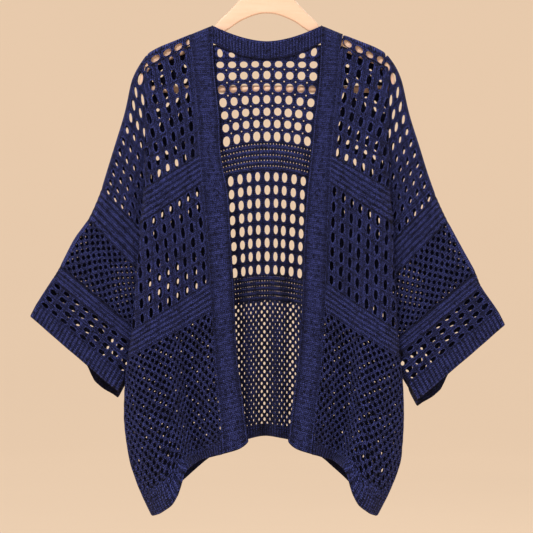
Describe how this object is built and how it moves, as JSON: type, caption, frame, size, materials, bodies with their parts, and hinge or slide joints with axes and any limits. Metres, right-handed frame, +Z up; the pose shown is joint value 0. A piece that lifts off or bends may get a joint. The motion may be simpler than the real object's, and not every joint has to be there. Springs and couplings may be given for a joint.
{
  "type": "open-knit cardigan on a wooden hanger",
  "caption": "Open-knit cardigan with wide elbow sleeves, ribbed front bands and a dipping hem, on a wooden hanger with a bar and a metal hook.",
  "frame": {"origin": "inside of the hook's top, where the hook rests on a rail", "axes": "+Z up along the hanging line, -Y out of the garment's front, +X to the right as the viewer sees the front"},
  "size_m": [0.7854, 0.0913, 0.939],
  "materials": {
    "navy_yarn": "soft matte navy yarn, open lace knit",
    "navy_rib": "soft matte navy yarn, dense ribbing",
    "pale_wood": "smooth pale wood, thin satin lacquer",
    "hook_steel": "plain round wire"
  },
  "bodies": {
    "root": {"back": "navy_yarn", "neck_band": "navy_rib", "hem_back": "navy_rib", "front_left": "navy_yarn", "front_right": "navy_yarn", "band_left": "navy_rib", "band_right": "navy_rib", "hem_left": "navy_rib", "hem_right": "navy_rib", "sleeve_left_front": "navy_yarn", "sleeve_left_back": "navy_yarn", "sleeve_right_front": "navy_yarn", "sleeve_right_back": "navy_yarn", "cuff_left": "navy_rib", "cuff_right": "navy_rib", "hanger_body": "pale_wood", "hanger_bar": "pale_wood", "hook": "hook_steel"}
  },
  "joints": []
}
